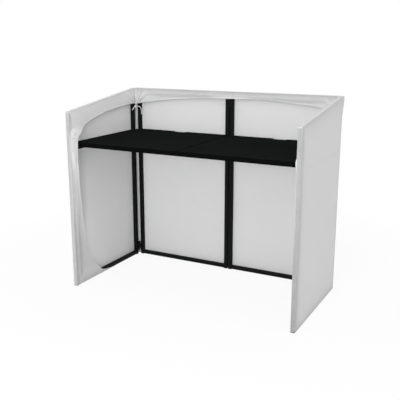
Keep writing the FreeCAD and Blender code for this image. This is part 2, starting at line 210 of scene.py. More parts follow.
class Finish:
    """The nodes of a material or of the world, in the making."""

    def __init__(self, owner):
        owner.use_nodes = True
        self.owner = owner
        self.tree = owner.node_tree
        self.tree.nodes.clear()

    def node(self, kind, settings, values):
        made = self.tree.nodes.new(kind)
        for key, value in settings.items():
            setattr(made, key, value)
        for key, value in values.items():
            if isinstance(value, Tap):
                self.tree.links.new(value.socket, made.inputs[key])
            else:
                made.inputs[key].default_value = value
        return made

    def tap(self, kind, output, settings, values):
        return Tap(self, self.node(kind, settings, values).outputs[output])

    def place(self):
        return self.tap("ShaderNodeTexCoord", "Object", {}, {})

    def noise(self, place, scale, detail):
        return self.tap("ShaderNodeTexNoise", 0, {}, {"Vector": place, "Scale": scale, "Detail": detail})

    def attribute(self, name):
        return self.tap("ShaderNodeAttribute", "Fac", {"attribute_name": name}, {})

    def parts(self, vector):
        """The first two parts of a vector."""
        made = self.node("ShaderNodeSeparateXYZ", {}, {0: vector})
        return Tap(self, made.outputs[0]), Tap(self, made.outputs[1])

    def weave(self):
        """The piece's own UV map: metres along it, and metres up or turns round a cord."""
        return self.parts(self.tap("ShaderNodeUVMap", 0, {"uv_map": "weave"}, {}))

    def mix(self, factor, first, second):
        settings = {"data_type": "RGBA", "blend_type": "MIX"}
        return self.tap("ShaderNodeMix", 2, settings, {0: factor, 6: shade(first), 7: shade(second)})

    def bump(self, height, strength, distance):
        values = {"Height": height, "Strength": strength, "Distance": distance}
        return self.tap("ShaderNodeBump", 0, {}, values)

    def seen(self):
        """1 for rays from the camera, straight or by way of metal or glass."""
        rays = self.node("ShaderNodeLightPath", {}, {})
        camera, glossy, glass = [Tap(self, rays.outputs[f"Is {kind} Ray"])
                                 for kind in ("Camera", "Glossy", "Transmission")]
        return camera.larger(glossy).larger(glass)

    def surface(self, values):
        lit = self.tap("ShaderNodeBsdfPrincipled", 0, {}, values)
        self.node("ShaderNodeOutputMaterial", {}, {"Surface": lit})
        return self.owner


def new_finish(name):
    return Finish(bpy.data.materials.new(name))


def shade(colour):
    """A plain colour with its fourth channel, or a shader value as it is."""
    return colour if isinstance(colour, Tap) else (*colour[:3], 1.0)


def scaled(colour, share):
    return [channel * share for channel in colour]


def powder_coat(name, colour, roughness, shine=0.05):
    """Satin black powder coat with a fine orange peel and faint clouding."""
    finish = new_finish(name)
    place = finish.place()
    peel = finish.noise(place, 620.0, 1.5)
    cloud = finish.noise(place, 14.0, 3.0)
    grit = finish.noise(place, 2600.0, 1.0)
    return finish.surface({
        "Base Color": finish.mix(cloud, scaled(colour, 0.8), scaled(colour, 1.25)),
        "Roughness": roughness + cloud * 0.08 + grit * 0.06,
        "Specular IOR Level": shine,
        "Normal": finish.bump(peel + grit * 0.3, 0.22, 0.0002),
    })


def laminate(name, colour, roughness, grain, seam=0.0):
    """Matt black board face: a pressed pebble grain, a few pale specks and a dark band along the seam,
    partly the edge band's edge and partly painted shade of the gap.
    """
    finish = new_finish(name)
    place = finish.place()
    pebble = finish.tap("ShaderNodeTexVoronoi", 0, {}, {"Vector": place, "Scale": grain})
    cloud = finish.noise(place, 7.0, 4.0)
    dust = finish.noise(place, 900.0, 2.0)
    worn = finish.mix(cloud, scaled(colour, 0.85), scaled(colour, 1.2))
    flecked = finish.mix(dust.over(0.74) * 0.2, worn, scaled(colour, 3.5))
    # Band along the seam: the edge band's edge and painted shade of the gap
    beside = finish.parts(place)[0].size().under(seam)
    return finish.surface({
        "Base Color": finish.mix(beside * 0.85, flecked, scaled(colour, 0.1)),
        "Roughness": roughness + cloud * 0.1,
        "Specular IOR Level": 0.0,
        "Normal": finish.bump(pebble + dust * 0.4, 0.25, 0.0003),
    })


def moulded(name, colour):
    """Moulded plastic with a spark-eroded grain."""
    finish = new_finish(name)
    place = finish.place()
    grain = finish.noise(place, 1500.0, 3.0)
    scuff = finish.noise(place, 160.0, 5.0)
    return finish.surface({
        "Base Color": finish.mix(scuff, scaled(colour, 0.8), scaled(colour, 1.5)),
        "Roughness": 0.5 + scuff * 0.2,
        "Specular IOR Level": 0.4,
        "Normal": finish.bump(grain, 0.3, 0.0002),
    })


def blackened(name, colour):
    """Blackened steel, turned and lightly handled."""
    finish = new_finish(name)
    stain = finish.noise(finish.place(), 240.0, 4.0)
    return finish.surface({
        "Base Color": finish.mix(stain, scaled(colour, 0.7), scaled(colour, 1.6)),
        "Metallic": 0.85,
        "Roughness": 0.34 + stain * 0.2,
        "Normal": finish.bump(stain, 0.1, 0.0001),
    })


# Knit of the cover, the stitches along its hems and the pitch of the cords' braid, in metres
WALE = 0.0011
COURSE = 0.0008
STITCH_LINE = 0.0135
STITCH_HALF = 0.0007
GROOVE_HALF = 0.0015
STITCH_PITCH = 0.0036
STITCH_RUN = 0.0027
BRAID_PITCH = 0.0042

# Yarns of a cord's braid, and what the soft finishes share
BRAID_YARNS = 6
SOFT = {"Subsurface Weight": 1.0, "Subsurface Radius": (1.0, 1.0, 1.0), "Subsurface Scale": 0.0012,
        "Sheen Weight": 0.2}


def stretch_cloth(name, single, doubled):
    """White knitted stretch cloth: wales, courses, hem stitches, a faint grey over the black tubes, and
    painted shade in creases, near the floor, in the hems' grooves and where the greys carry it.
    """
    finish = new_finish(name)
    along, up = finish.weave()
    wale = (along * (math.tau / WALE)).wave()
    course = (up * (math.tau / COURSE) + wale * 0.9).wave()
    knit = wale.size() * 0.6 + course * 0.4
    cloud = finish.noise(finish.place(), 11.0, 3.0)
    off_line = (finish.attribute("hem") - STITCH_LINE).size()
    stitch = off_line.under(STITCH_HALF) * along.rest(STITCH_PITCH).under(STITCH_RUN)
    groove = off_line.under(GROOVE_HALF)
    # Grey of the tubes behind the cloth, together with painted shade
    tube_and_shade = finish.attribute("backing") * (0.8 + cloud * 0.3)
    # Paler second layer, partly painted light
    layered_and_lit = finish.mix(finish.attribute("doubled"), single, doubled)
    plain = finish.mix(cloud * 0.06, layered_and_lit, scaled(single, 0.7))
    greyed = finish.mix(tube_and_shade * 0.55, plain, scaled(single, 0.62))
    # Painted shade in creases and near the floor
    crease_shaded = finish.mix(finish.attribute("crease") * 0.7, greyed, scaled(single, 0.3))
    return finish.surface({
        **SOFT,
        # Painted shade in the groove along the hem's stitches
        "Base Color": finish.mix(groove * 0.2, crease_shaded, scaled(single, 0.7)),
        "Roughness": 0.82 + knit * 0.06,
        "Specular IOR Level": 0.22,
        "Sheen Roughness": 0.45,
        "Normal": finish.bump(knit * 0.35 + stitch * 2.5 - groove * 1.6, 0.3, 0.0003),
    })


def braided_cord(name, colour):
    """Braided elastic cord: two crossing sets of yarns round the cord."""
    finish = new_finish(name)
    along, round_it = finish.weave()
    lengthways = along * (math.tau / BRAID_PITCH)
    round_turns = round_it * (math.tau * BRAID_YARNS)
    yarn = (lengthways + round_turns).wave().larger((lengthways - round_turns).wave())
    fuzz = finish.noise(finish.place(), 1800.0, 3.0)
    return finish.surface({
        **SOFT,
        "Base Color": finish.mix(yarn * 0.4 + 0.5, scaled(colour, 0.82), colour),
        "Roughness": 0.78 + fuzz * 0.12,
        "Specular IOR Level": 0.25,
        "Normal": finish.bump(yarn + fuzz * 0.35, 0.5, 0.0004),
    })


# Work on objects

MERGE = 1e-6
FLAT_ANGLE = math.radians(0.5)
SHARP_ANGLE = math.radians(50)
SMOOTH_ANGLE = math.radians(32)


def only(piece):
    """Make one object the selected and active one."""
    bpy.ops.object.select_all(action="DESELECT")
    piece.select_set(True)
    bpy.context.view_layer.objects.active = piece


def new_piece(name, mesh):
    piece = bpy.data.objects.new(name, mesh)
    bpy.context.scene.collection.objects.link(piece)
    only(piece)
    return piece


def piece_of(name, work):
    """A piece made from a finished bmesh."""
    mesh = bpy.data.meshes.new(name)
    work.to_mesh(mesh)
    work.free()
    return new_piece(name, mesh)


def paint_all(piece, *materials):
    piece.data.materials.clear()
    for material in materials:
        piece.data.materials.append(material)


def stand_for(piece, node):
    """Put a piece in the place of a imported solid, on that solid's body."""
    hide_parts(node)
    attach(piece, frame["nodes"][node]["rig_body"])


def eased_copy(node, name, width, chosen, materials):
    """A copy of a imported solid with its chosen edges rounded, standing for that solid."""
    piece = new_piece(name, frame["nodes"][node].data.copy())
    paint_all(piece, *materials)
    for face in piece.data.polygons:
        face.material_index = 0
    bpy.ops.object.mode_set(mode="EDIT")
    bpy.ops.mesh.select_mode(type="EDGE")
    bpy.ops.mesh.select_all(action="SELECT")
    bpy.ops.mesh.remove_doubles(threshold=MERGE)
    bpy.ops.mesh.customdata_custom_splitnormals_clear()
    bpy.ops.mesh.dissolve_limited(angle_limit=FLAT_ANGLE)
    work = bmesh.from_edit_mesh(piece.data)
    bpy.ops.mesh.select_all(action="DESELECT")
    for edge in work.edges:
        if edge.calc_face_angle(0.0) > SHARP_ANGLE and chosen(edge.verts[0].co, edge.verts[1].co):
            edge.select_set(True)
    bmesh.update_edit_mesh(piece.data)
    bpy.ops.mesh.bevel(offset=width, segments=2, profile=0.5, clamp_overlap=False,
                       material=len(materials) - 1)
    bpy.ops.object.mode_set(mode="OBJECT")
    bpy.ops.object.shade_smooth_by_angle(angle=SMOOTH_ANGLE)
    stand_for(piece, node)
    return piece


def smooth(low, high, value):
    share = min(max((value - low) / (high - low), 0.0), 1.0)
    return share * share * (3.0 - 2.0 * share)


def band(rise, fall, value):
    """1 between a soft rise and a soft fall, 0 outside them."""
    return smooth(*rise, value) * (1.0 - smooth(*fall, value))


def mixed(first, second, share):
    return first + (second - first) * share


def spread(start, end, step):
    """Even places from start to end, about a step apart."""
    count = max(2, round(abs(end - start) / step))
    return [start + (end - start) * index / count for index in range(count + 1)]


def neighbours(items, index):
    """The items before and after one in a list, or the item itself at an end."""
    return items[max(index - 1, 0)], items[min(index + 1, len(items) - 1)]


def through(keys, place):
    """A smooth curve through keys: each is a place followed by the values there."""
    index = 0
    while index < len(keys) - 2 and place > keys[index + 1][0]:
        index += 1
    before = keys[max(index - 1, 0)]
    start = keys[index]
    end = keys[index + 1]
    after = keys[min(index + 2, len(keys) - 1)]
    run = end[0] - start[0]
    share = (place - start[0]) / run
    square = share * share
    cube = square * share
    values = []
    for p0, p1, p2, p3 in zip(before[1:], start[1:], end[1:], after[1:]):
        leave = (p2 - p0) / (end[0] - before[0]) * run
        arrive = (p3 - p1) / (after[0] - start[0]) * run
        values.append(p1 * (2 * cube - 3 * square + 1) + leave * (cube - 2 * square + share)
                      + p2 * (3 * square - 2 * cube) + arrive * (cube - square))
    return values


# Cloth

SEAM_REACH = 1e-5


class Cloth:
    """A sheet in the making: grids of spots that are sewn together where they meet."""

    def __init__(self):
        self.work = bmesh.new()
        self.weave = self.work.loops.layers.uv.new("weave")
        self.layers = {name: self.work.verts.layers.float.new(name)
                       for name in ("hem", "backing", "doubled", "crease")}

    def vertex(self, spot):
        made = self.work.verts.new(spot.point)
        for name, layer in self.layers.items():
            made[layer] = getattr(spot, name)
        return made

    def grid(self, rows):
        made = [[self.vertex(spot) for spot in row] for row in rows]
        for row in range(len(rows) - 1):
            for index in range(len(rows[row]) - 1):
                corners = ((row, index), (row, index + 1), (row + 1, index + 1), (row + 1, index))
                face = self.work.faces.new([made[line][place] for line, place in corners])
                face.smooth = True
                for loop, (line, place) in zip(face.loops, corners):
                    loop[self.weave].uv = (rows[line][place].along, rows[line][place].up)

    def sewn(self, name, thickness, outward, materials):
        """Sew the grids, turn their faces the way outward points, and give the cloth its thickness."""
        work = self.work
        bmesh.ops.remove_doubles(work, verts=work.verts[:], dist=SEAM_REACH)
        bmesh.ops.recalc_face_normals(work, faces=work.faces[:])
        facing = sum(outward(face.calc_center_median()).dot(face.normal) * face.calc_area()
                     for face in work.faces)
        if facing < 0:
            bmesh.ops.reverse_faces(work, faces=work.faces[:])
        area = sum(face.calc_area() for face in work.faces)
        piece = piece_of(name, work)
        paint_all(piece, *materials)
        modifier = piece.modifiers.new("Thickness", "SOLIDIFY")
        modifier.thickness = thickness
        modifier.offset = 0.0
        modifier.use_rim = True
        modifier.material_offset = len(materials) - 1
        bpy.ops.object.modifier_apply(modifier=modifier.name)
        return piece, area


# The elastic hem: distance from its edge and height, from the plain cloth over the bead and back behind it
HEM_BEAD = ((0.024, 0.0), (0.018, 0.0001), (0.0145, -0.0001), (0.0115, 0.0004), (0.0085, 0.0010),
            (0.006, 0.0014), (0.004, 0.0017), (0.0022, 0.0017), (0.0008, 0.0013), (0.0, 0.0008))
HEM_BACK = ((0.0006, 0.0002), (0.0022, 0.0), (0.006, 0.0), (0.011, 0.0))

# Run of cloth that a full hem needs, marks for cloth that is away from a hem or behind it, distances of a
# wrap's first rows from its edge over the tube, and the number of rows between those and the hem
HEM_ROOM = 0.066
OFF_HEM = 0.3
BEHIND_HEM = 0.05
OVER_TUBE = (0.0, 0.004, 0.009, 0.014, 0.018, 0.0205, 0.0225, 0.025, 0.029, 0.034)
BODY_ROWS = 10

# Grey of the cloth from the black tubes behind it, with painted shade: outside, over the top of a side, just
# below that, where it is also painted shade under the top rail, over the top of the front, and over a near
# end, at the floor and at the top, where painted shade makes the right end darker than the left and darker
# towards the floor.
# A fade is the distance over which a grey dies away; the right's longer fade paints shade onto its outer
# side near the corner
OUTER_SHADE = 0.1
HEAD_SHADE = 0.1
UNDER_HEAD_SHADE = 0.95
UNDER_HEAD_FADE = 0.028
FRONT_HEAD_SHADE = 0.8
NEAR_SHADE = {LEFT: (1.1, 1.1), RIGHT: (1.85, 1.5)}
NEAR_FADE = {LEFT: 0.007, RIGHT: 0.025}

# Drops from the near height between which a near end takes the top's grey, and its border with the wrap
NEAR_HEAD = (0.011, 0.003)
NEAR_BORDER = 0.005

# Painted shade: on a near end, darker towards the floor, round the front's hem where it stands for the hem's
# shadow, lower on the front, and on the outer sheets just above the floor
END_FLOOR_SHADE = {LEFT: 0.0, RIGHT: 0.45}
END_FLOOR_SHADE_FADE = 0.065
HEM_SHADE = 0.5
HEM_SHADE_FADE = 0.022
LOW_SHADE = 0.25
LOW_END = (0.5, 0.95)
FLOOR_SHADE = ((0.30, 0.02), (0.06, 0.08))

# Share of the paler second layer on the front's inner wrap; the sides take all of it, which also paints
# light onto their wraps
FRONT_LAYERS_AND_LIGHT = 0.58

# Painted shade on a side's inner wrap: in the pocket at the bottom, darker at its floor, and on the lifted
# flap, where it also stands for the black board behind; and the shares of grey and of the second layer that
# it loses where it hangs free and near the top
POCKET_SHADE = 0.35
POCKET_FLOOR_SHADE = 0.45
FLAP_SHADE = 1.15
FREE_LOSS = 0.75
HEAD_LOSS = 0.22

# Heights between which a side's inner wrap takes on a tone
NEAR_RISE = (0.1, 0.9)
FREE_START = (0.36, 0.50)
FREE_END = (0.86, 0.93)
POCKET_END = (0.22, 0.38)
POCKET_FLOOR = (0.0, 0.1)
FLAP_START = (0.63, 0.76)
FLAP_END = (0.88, 0.95)
HEAD_START = (0.80, 0.98)

# Distances from the near end over which the top's loss fades, places along the edge where the flap sets in,
# and the share of a column that stays flat beside it
HEAD_REACH = (0.03, 0.16)
FLAP_LINE = (0.83, 0.99)
FLAP_SHARE = 0.6

# How far cloth bellies, how far the inner wraps sink towards the outer sheets between the tubes, and the
# borders of both
BELLY = 0.0009
SIDE_SLACK = 0.0008
SIDE_SINK = 0.0205
SIDE_SINK_END = (0.25, 0.52)
FRONT_SINK = 0.010
SOFT_EDGE = 0.004
BELLY_EASE = 0.03
SIDE_SINK_EDGE = 0.080
FRONT_SINK_EDGE = (0.045, 0.16)

# Border of the inner wraps, puckers along their hems, half the width and the share of the length of the
# front's creases, border of the second layer, and distances off the plane where a lifted flap takes painted
# shade
WRAP_EASE = 0.012
PUCKER_PITCH = 0.026
PUCKER_FADE = 0.03
CREASE_HALF = 0.0042
CREASE_RUN = 0.42
LAYER_EASE = 0.01
LIFT_TONE = (0.003, 0.02)

# Steps of the grids, how far the closer columns reach from a corner, and half the widths of the middle
# ridge and of its knuckles
SIDE_STEP = 0.0058
UPRIGHT_STEP = 0.011
FRONT_STEP = 0.0052
CLOSE_STEP = 0.0026
CLOSE_REACH = 0.085
MIDDLE_STEP = 0.0025
RIDGE_HALF = 0.0085
KNUCKLE_HALF = 0.0055
KNUCKLE_EDGE = (0.002, 0.005)

# Hem of a side cover: place along its edge from the floor up and then along the top, distance from the near
# end, height, and how far it is drawn in front of the table top
SIDE_HEM_FOOT = ((0.0, 0.392, 0.0025, 0.0), (0.030, 0.300, 0.012, 0.0), (0.075, 0.240, 0.030, 0.0),
                 (0.150, 0.204, 0.092, 0.0), (0.245, 0.150, 0.190, 0.0), (0.345, 0.118, 0.306, 0.0),
                 (0.440, 0.092, 0.405, 0.0), (0.550, 0.071, 0.531, 0.0))
SIDE_HEM_HEAD = ((1.045, 0.152, 0.935, 0.0), (1.110, 0.205, 0.951, 0.0), (1.200, 0.272, 0.967, 0.0),
                 (1.310, 0.371, 0.986, 0.0), (1.450, 0.489, 0.998, 0.0), (1.560, 0.576, 1.003, 0.0),
                 (1.660, 0.645, 1.0045, 0.0))
SIDE_HEM = {
    LEFT: SIDE_HEM_FOOT + ((0.650, 0.058, 0.646, 0.006), (0.722, 0.042, 0.721, 0.018),
                           (0.785, 0.026, 0.785, 0.031), (0.822, 0.0190, 0.822, 0.0385),
                           (0.852, 0.0172, 0.850, 0.0410), (0.884, 0.0165, 0.8735, 0.0470),
                           (0.918, 0.048, 0.8825, 0.0330), (0.952, 0.092, 0.8935, 0.0105),
                           (1.000, 0.122, 0.918, 0.001)) + SIDE_HEM_HEAD,
    RIGHT: SIDE_HEM_FOOT + ((0.650, 0.061, 0.646, 0.0), (0.722, 0.050, 0.721, 0.001),
                            (0.785, 0.030, 0.785, 0.004), (0.820, 0.0200, 0.822, 0.0075),
                            (0.846, 0.0195, 0.850, 0.0085), (0.872, 0.040, 0.866, 0.006),
                            (0.920, 0.092, 0.889, 0.002), (0.985, 0.120, 0.918, 0.0)) + SIDE_HEM_HEAD,
}

# Hem of the front cover: place across the booth and height
FRONT_HEM = ((-0.660, 1.002), (-0.632, 1.0045), (-0.547, 1.017), (-0.476, 1.028), (-0.296, 1.045),
             (-0.145, 1.053), (0.0, 1.058), (0.120, 1.060), (0.210, 1.059), (0.315, 1.052), (0.429, 1.043),
             (0.540, 1.031), (0.600, 1.019), (0.632, 1.0085), (0.660, 1.003))

# Two short slanting creases right of the middle of the front wall: start, end and height
FRONT_CREASES = (((0.192, 1.084), (0.292, 1.064), 0.0013), ((0.205, 1.071), (0.268, 1.060), 0.0009))

# Folds from a tie into the cloth: direction from straight up, towards the front wall, their share and width
TIE_FOLDS = ((-68, 0.6, 8.0), (-46, 0.9, 7.0), (-25, 0.9, 6.5), (0, 1.1, 6.0), (19, 1.1, 5.5),
             (40, 1.25, 5.5), (64, 0.9, 7.0))

# Height of a tie, reach of its folds, distances over which they rise, die away and stay flat at the tie, the
# level of the folds below which their creases get painted shade, and the fan of directions that has creases
TIE_HEIGHT = 0.996
TIE_REACH = 0.30
TIE_NEAR = 0.02
TIE_FAR = 0.09
TIE_EYE = 0.012
TIE_FAR_SHARE = 0.35
TIE_CREASE_SHADE = 0.75
FAN_START = (-95.0, -70.0)
FAN_END = (72.0, 95.0)

# The corner strips: where they start from the tubes, how they are cut and rounded, and the steps on each run
CORNER_START = 0.0078
CORNER_CUT = 0.0322
CORNER_ROUND = 0.006
CORNER_PEAK_CUT = 0.006
CORNER_PEAK = 0.0025
CORNER_INSET = 0.001
CORNER_TUCK = 0.003
CORNER_DIP = 0.0045
CORNER_CENTRE = (0.650, 0.318)
CORNER_COUNTS = (4, 5, 7, 5, 4)
CORNER_BACKING = 0.4
PEAK_START = 0.12
PEAK_END = 0.012


def tie_folds(across, height, depth):
    """Height of the folds round a tie and painted shade in their creases, at a place measured from the
    middle of the corner.
    """
    rise = height - TIE_HEIGHT
    reach = math.hypot(across, rise)
    if reach > TIE_REACH:
        return 0.0, 0.0
    angle = math.degrees(math.atan2(across, rise))
    ridges = sum(share * math.exp(-((angle - middle) / width) ** 2) for middle, share, width in TIE_FOLDS)
    fade = min(1.0, (reach / TIE_NEAR) * math.exp(1 - reach / TIE_NEAR))
    fade += TIE_FAR_SHARE * math.exp(-reach / TIE_FAR)
    fade *= smooth(0.0, TIE_EYE, reach)
    crease = max(0.0, TIE_CREASE_SHADE - ridges) * min(fade, 1.0) * band(FAN_START, FAN_END, angle)
    return depth * ridges * fade, crease


def front_creases(across, height):
    total = 0.0
    for start, end, rise in FRONT_CREASES:
        run = (end[0] - start[0], end[1] - start[1])
        length = math.hypot(*run)
        lean = (across - start[0], height - start[1])
        share = (lean[0] * run[0] + lean[1] * run[1]) / length ** 2
        off = (lean[0] * run[1] - lean[1] * run[0]) / length
        total += rise * math.exp(-(off / CREASE_HALF) ** 2) * math.exp(-((share - 0.5) / CREASE_RUN) ** 4)
    return total


def calm(x, y, z):
    """Slow unevenness of taut cloth, from 0 to 1."""
    return 0.5 + 0.5 * noise.noise(Vector((x * 3.1, y * 3.1, z * 2.3)))


def puckers(along, height):
    """Small uneven puckers that the elastic draws along a hem."""
    sway = noise.noise(Vector((along * 19.0, 3.7, 1.3)))
    rise = 0.5 + 0.5 * math.sin(along * math.tau / PUCKER_PITCH + 2.4 * sway)
    return height * rise * (0.65 + 0.5 * sway)


def past(edge, value):
    """0 before an edge and 1 after it, with a soft border."""
    return smooth(edge - SOFT_EDGE, edge + SOFT_EDGE, value)


def tube_behind(value, low, high):
    """Share of a tube behind the cloth."""
    return past(low, value) * (1.0 - past(high, value))


def rails_behind(height, top):
    bottom = tube_behind(height, side_tube_low.z, side_tube_low.z + TUBE)
    shelf = tube_behind(height, SHELF_TOP - TUBE, SHELF_TOP)
    return max(bottom, shelf, past(top - TUBE, height))


def turned(across, radius):
    """Section over a tube: distance across and drop, round two corners."""
    first = []
    for degrees in (0.0, 22.5, 45.0, 67.5, 90.0):
        angle = math.radians(degrees)
        first.append((radius * (1 - math.cos(angle)), radius * (1 - math.sin(angle))))
    middle = [(radius + (across - 2 * radius) * share, 0.0) for share in (0.25, 0.5, 0.75)]
    last = [(across - reach, drop) for reach, drop in reversed(first)]
    return first + middle + last


def over_tube(across, outside, inside):
    """Value of the cloth over a tube's end or top, from the outer sheet's to the inner wrap's."""
    return mixed(outside, inside, smooth(0.0, SOFT_EDGE, across))


def floor_shade(height):
    """Painted shade on the outer sheet, darker just above the floor."""
    return sum(share * math.exp(-height / fade) for share, fade in FLOOR_SHADE)


def hem_rows(run):
    """Distances from the hem's edge and heights over the cloth, from the wrap's far edge to the back."""
    share = min(1.0, run / HEM_ROOM)
    reach = HEM_BEAD[0][0] * share
    body = [(run - distance * share, 0.0, True) for distance in OVER_TUBE]
    last = body.pop()[0]
    body += [(last + (reach - last) * index / BODY_ROWS, 0.0, True) for index in range(BODY_ROWS)]
    bead = [(distance * share, height, True) for distance, height in HEM_BEAD]
    back = [(distance * share, height, False) for distance, height in HEM_BACK]
    return body + bead + back


def wrap_rows(edge, hem, facing, along, extra, cover, tone, drawn=Vector((0, 0, 0)), start=0.0):
    """One column of the inner wrap: spots from its outer edge to the hem and round the hem's bead.

    The hem may be drawn off the wrap's plane, from a start along the column."""
    run = (edge - hem).length
    slope = (edge - hem) / run
    spots = []
    for distance, height, face in hem_rows(run):
        inset = run - distance
        lift = drawn * max(0.0, (1 - distance / run - start) / (1 - start))
        place = hem + slope * distance
        swell, crease = extra(place, distance)
        fixed = smooth(0.0, WRAP_EASE, inset)
        pucker = puckers(along, cover.pucker) * math.exp(-distance / PUCKER_FADE) * fixed if face else 0.0
        # Grey from the tube at the edge, with painted shade: the near end's, in the pocket, and where the
        # flap is lifted
        behind_and_shade = tone.edge * (1.0 - smooth(0.0, TUBE + WRAP_EASE, inset)) + tone.body * fixed
        behind_and_shade = max(behind_and_shade, tone.lifted * smooth(*LIFT_TONE, lift.length))
        point = place + lift + facing * (height + swell * fixed + pucker)
        spots.append(Spot(point, along, -distance, distance if face else BEHIND_HEM, behind_and_shade,
                          tone.layers * smooth(0.0, LAYER_EASE, inset), crease * fixed))
    return spots


def side_edge_height(y, cover):
    """Upper edge of a side cover, in the middle of the cloth."""
    slope = (cover_side_high.z - cover.near_height) / (cover_side_high.y - NEAR)
    return cover.near_height + slope * (y - NEAR) - cover.cloth / 2


def corner_across(y):
    """Distance from the middle of a corner to a place on the side wall, as a negative number."""
    return -(side_tube_high.y - y) - CORNER_START


def side_fold(cover):
    """Height of a side's inner wrap off its plane and painted shade in its creases, at a spot."""

    def height(spot, distance):
        folds, crease = tie_folds(corner_across(spot.y), spot.z, cover.gather)
        slack = SIDE_SLACK * calm(spot.x, spot.y * 2, spot.z * 2) * smooth(0.0, BELLY_EASE, distance)
        inward = smooth(TUBE + 0.004, SIDE_SINK_EDGE, spot.y - NEAR)
        inward *= smooth(TUBE + 0.006, SIDE_SINK_EDGE, spot.z)
        sink = SIDE_SINK * inward * (1.0 - smooth(*SIDE_SINK_END, spot.z))
        return folds + slack - sink, crease

    return height


